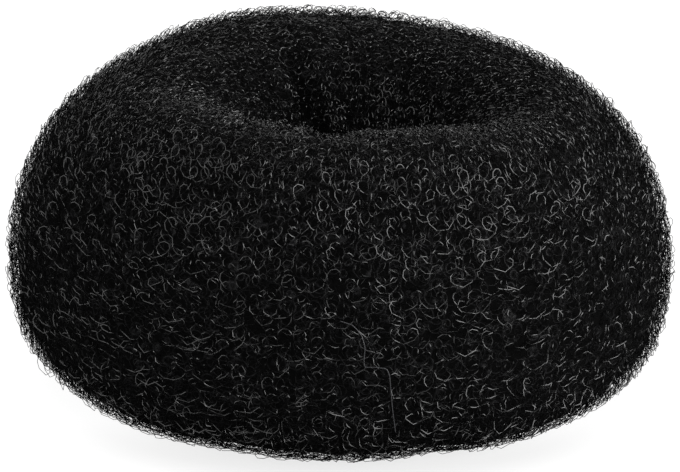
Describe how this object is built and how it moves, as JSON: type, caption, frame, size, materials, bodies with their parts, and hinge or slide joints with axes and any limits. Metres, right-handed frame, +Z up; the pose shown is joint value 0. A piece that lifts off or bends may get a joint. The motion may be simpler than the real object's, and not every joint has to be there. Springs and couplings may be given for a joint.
{
  "type": "hair donut bun maker",
  "caption": "Soft ring of rolled black nylon mesh with a hole for a ponytail, round which hair is wound into a bun.",
  "frame": {"origin": "middle of the ring's outline from above, on the surface that it rests on", "axes": "+Z up along the hole, -Y towards the side that the picture shows, +X to its right"},
  "size_m": [0.085, 0.0858, 0.0399],
  "materials": {
    "nylon_mesh": "black nylon monofilament, knitted in open loops, with a slight gloss on each strand"
  },
  "bodies": {
    "root": {"rolled_sleeve": "nylon_mesh"}
  },
  "joints": []
}
